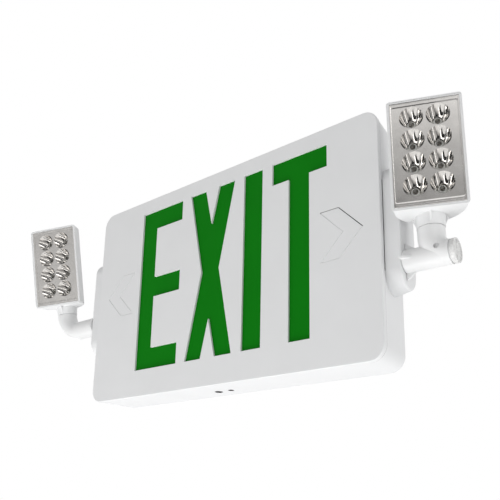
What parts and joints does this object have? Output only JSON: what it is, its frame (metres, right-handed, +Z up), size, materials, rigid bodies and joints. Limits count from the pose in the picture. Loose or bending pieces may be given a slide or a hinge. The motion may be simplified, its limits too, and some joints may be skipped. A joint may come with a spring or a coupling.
{
  "type": "emergency exit light",
  "caption": "Slim wall-mounted exit sign with a lamp head on a swivelling arm at each side, a battery inside and a test button below.",
  "frame": {"origin": "middle of the back face, which lies on the wall, where the box screws' line is centred", "axes": "+X to the reader's right along the sign's length, -Y off the wall towards the reader, +Z up"},
  "size_m": [0.4442, 0.0737, 0.1903],
  "materials": {
    "sign_plastic": "fine satin, light grey-white",
    "back_plastic": "fine satin, light grey-white",
    "lamp_plastic": "satin, light grey-white",
    "arm_plastic": "satin, light grey-white",
    "cap_plastic": "lightly textured",
    "legend_green": "dark translucent green",
    "clear_lens": "clear polycarbonate",
    "bright_reflector": "vacuum metallised",
    "led_white": "clear dome over yellow phosphor",
    "white_board": "white solder mask",
    "circuit_board": "green solder mask",
    "transformer_steel": "laminated core",
    "capacitor_sleeve": "shrink sleeve",
    "switch_plastic": "black",
    "button_plastic": "black, satin",
    "pilot_red": "translucent red",
    "battery_sleeve": "blue shrink sleeve",
    "bracket_steel": "zinc plated",
    "spring_steel": "bright spring steel"
  },
  "bodies": {
    "sign_body": {"face_plate": "sign_plastic", "legend_panel": "legend_green", "housing_frame": "sign_plastic", "back_plate": "back_plastic", "charger_board": "circuit_board", "transformer": "transformer_steel", "board_capacitors": "capacitor_sleeve", "test_switch": "switch_plastic", "pilot_light": "pilot_red", "battery_pack": "battery_sleeve", "battery_bracket": "bracket_steel", "sign_led_board": "white_board", "sign_leds": "led_white", "right_mount_pad": "sign_plastic", "left_mount_pad": "sign_plastic"},
    "test_button": {"test_button": "button_plastic"},
    "right_arm": {"right_arm": "arm_plastic", "right_arm_end_cap": "cap_plastic", "right_arm_clip": "spring_steel", "right_neck_clip": "spring_steel"},
    "right_head": {"right_head_shell": "lamp_plastic", "right_head_lens": "clear_lens", "right_reflector": "bright_reflector", "right_led_board": "white_board", "right_head_leds": "led_white"},
    "left_arm": {"left_arm": "arm_plastic", "left_arm_clip": "spring_steel", "left_neck_clip": "spring_steel"},
    "left_head": {"left_head_shell": "lamp_plastic", "left_head_lens": "clear_lens", "left_reflector": "bright_reflector", "left_led_board": "white_board", "left_head_leds": "led_white"}
  },
  "joints": [
    {"name": "right_arm_turn", "type": "hinge", "parent": "sign_body", "child": "right_arm", "pos_m": [0.165, -0.0277, -0.0251], "axis": [1, 0, 0], "range_deg": [-2, 88]},
    {"name": "right_head_swivel", "type": "hinge", "parent": "right_arm", "child": "right_head", "pos_m": [0.1817, -0.0277, -0.0251], "axis": [0, -0.0349, 0.9994], "range_deg": [0, 67]},
    {"name": "left_arm_turn", "type": "hinge", "parent": "sign_body", "child": "left_arm", "pos_m": [-0.165, -0.0277, -0.013], "axis": [1, 0, 0], "range_deg": [-10, 79]},
    {"name": "left_head_swivel", "type": "hinge", "parent": "left_arm", "child": "left_head", "pos_m": [-0.2135, -0.0277, -0.013], "axis": [0, -0.1908, 0.9816], "range_deg": [-112, 67]},
    {"name": "test_button_press", "type": "slide", "parent": "sign_body", "child": "test_button", "axis": [0, 0, 1], "range_m": [0, 0.0012], "stiffness_N_per_m": 500, "springref_m": -0.002}
  ]
}
